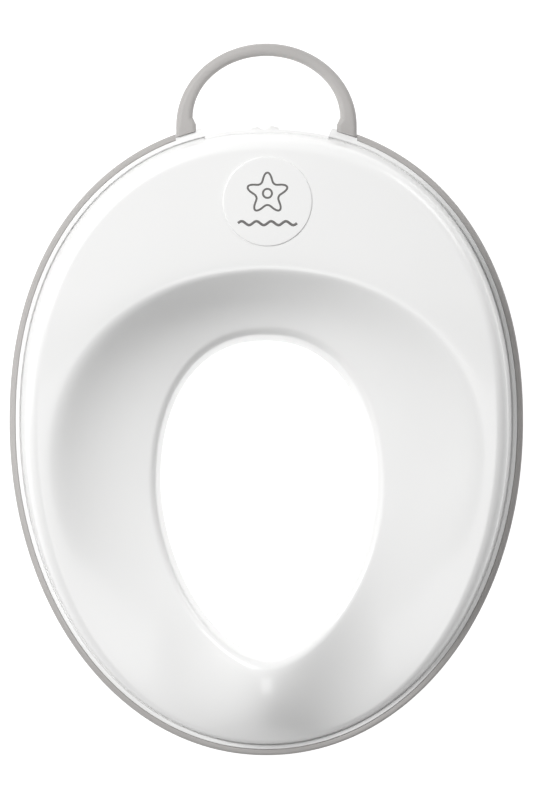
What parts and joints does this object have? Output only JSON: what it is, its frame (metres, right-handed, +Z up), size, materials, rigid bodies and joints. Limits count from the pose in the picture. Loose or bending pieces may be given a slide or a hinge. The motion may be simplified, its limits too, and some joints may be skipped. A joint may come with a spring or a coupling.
{
  "type": "toilet training seat",
  "caption": "Child's toilet training seat with bowl, splash guard, soft grip rim, carrying handle and a rear dial that drives a jaw against the toilet ring.",
  "frame": {"origin": "centre of the bounding box in plan, at the foot of the splash collar", "axes": "+Z up; -Y the child's front, with the splash guard; +Y the rear, with the handle; X across the seat"},
  "size_m": [0.3008, 0.4168, 0.1043],
  "materials": {
    "shell_white": "white glossy moulded plastic",
    "badge_white": "white glossy disc with a grey printed motif",
    "collar_white": "white glossy moulded plastic",
    "frame_white": "white satin moulded plastic",
    "dial_white": "white satin moulded plastic",
    "soft_grey": "warm grey soft rubber",
    "handle_grey": "warm grey satin plastic",
    "steel": "bright zinc-plated steel"
  },
  "bodies": {
    "seat": {"seat_shell": "shell_white", "badge_disc": "badge_white", "splash_collar": "collar_white", "front_pad": "soft_grey", "under_frame": "frame_white", "grip_rim": "soft_grey", "carry_handle": "handle_grey", "adjuster_housing": "frame_white", "dial_washer": "steel", "dial_screw": "steel", "slide_keeper": "frame_white", "frame_screws": "steel", "handle_screws": "steel", "housing_screws": "steel", "keeper_screws": "steel"},
    "dial": {"adjuster_dial": "dial_white", "dial_cap": "dial_white"},
    "slide": {"adjuster_slide": "frame_white", "slide_pin": "steel", "adjuster_jaw": "frame_white", "jaw_pad": "soft_grey", "jaw_screws": "steel"}
  },
  "joints": [
    {"name": "dial_turn", "type": "hinge", "parent": "seat", "child": "dial", "pos_m": [0, 0.1331, 0.06], "axis": [0, 0, 1], "range_deg": [0, 240]},
    {"name": "jaw_slide", "type": "slide", "parent": "seat", "child": "slide", "axis": [0, 1, 0], "range_m": [0, 0.0141]}
  ],
  "couplings": [
    {"joint": "jaw_slide", "follows": "dial_turn", "m_per_rad": 0.0033423}
  ]
}
